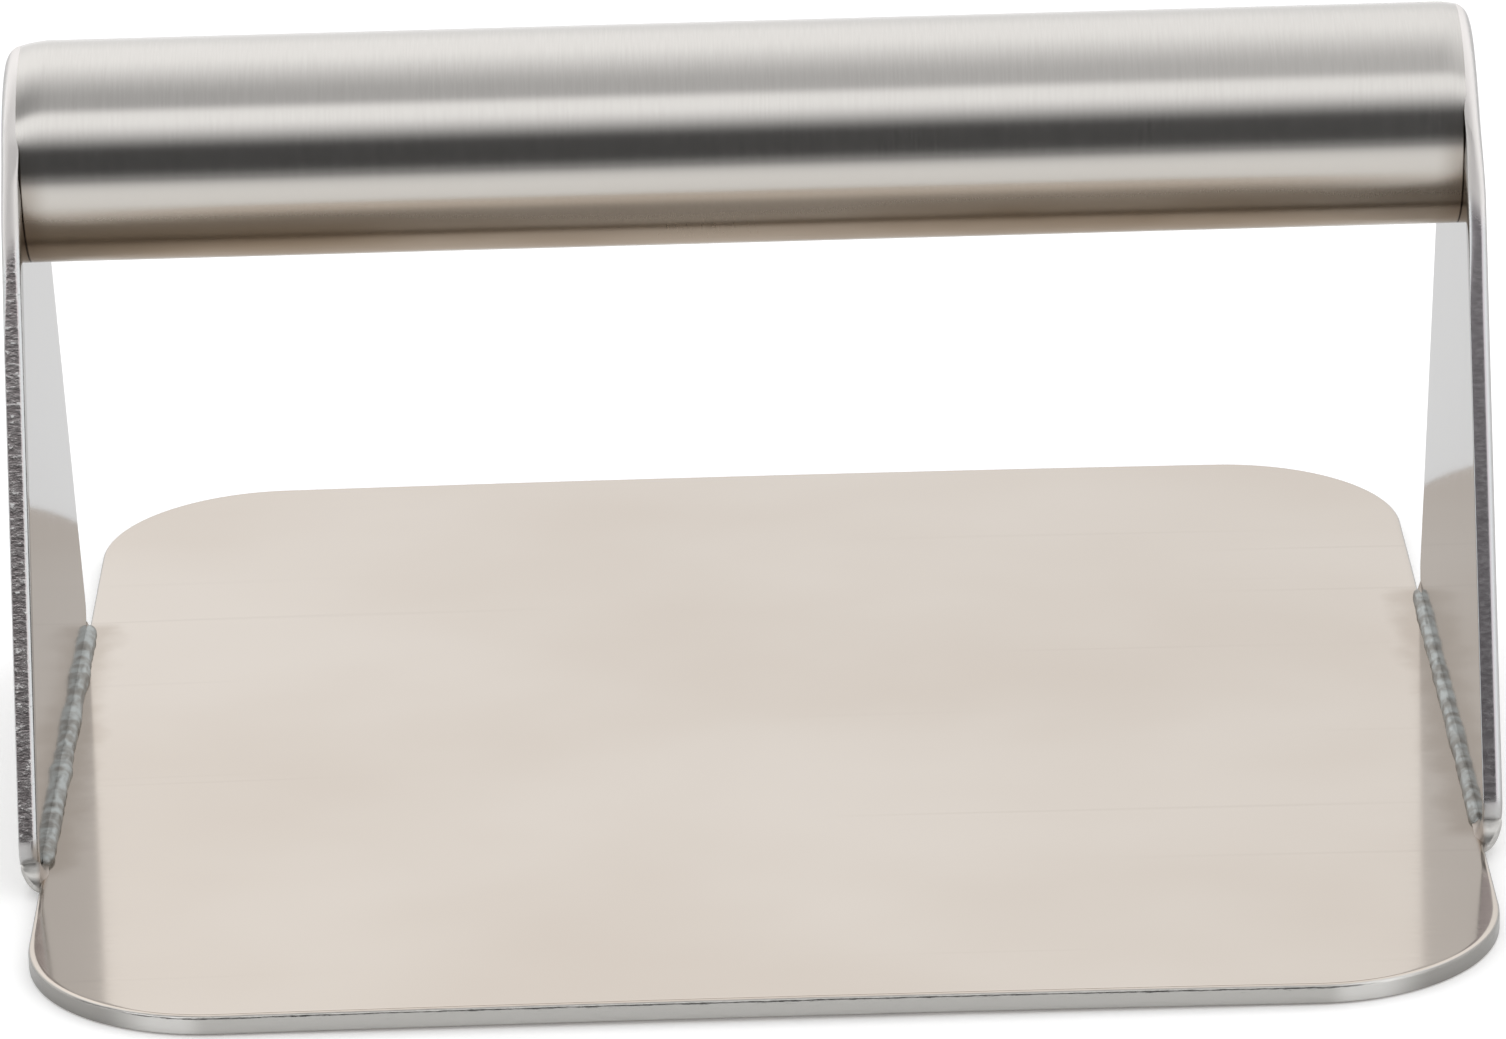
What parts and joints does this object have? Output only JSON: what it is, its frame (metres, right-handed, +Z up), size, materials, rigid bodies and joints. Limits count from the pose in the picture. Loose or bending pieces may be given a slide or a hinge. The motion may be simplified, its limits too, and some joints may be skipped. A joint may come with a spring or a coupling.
{
  "type": "bacon press",
  "caption": "Welded stainless press for griddles: flat square plate with rounded corners, tapered side plates and a round tube handle across the top.",
  "frame": {"origin": "centre of the pressing face, on the underside of the base plate", "axes": "+Z up, +X along the handle tube, -Y towards the user"},
  "size_m": [0.168, 0.1664, 0.089],
  "materials": {
    "satin_sheet": "satin mill-finish stainless sheet",
    "brushed_tube": "stainless tube brushed round its girth",
    "ground_weld": "weld metal ground flush and polished",
    "weld_bead": "rippled, as welded, dull grey"
  },
  "bodies": {
    "root": {"base_plate": "satin_sheet", "left_side_plate": "satin_sheet", "right_side_plate": "satin_sheet", "handle_tube": "brushed_tube", "left_handle_weld": "ground_weld", "right_handle_weld": "ground_weld", "left_corner_weld": "ground_weld", "right_corner_weld": "ground_weld", "left_fillet_weld": "weld_bead", "right_fillet_weld": "weld_bead"}
  },
  "joints": []
}
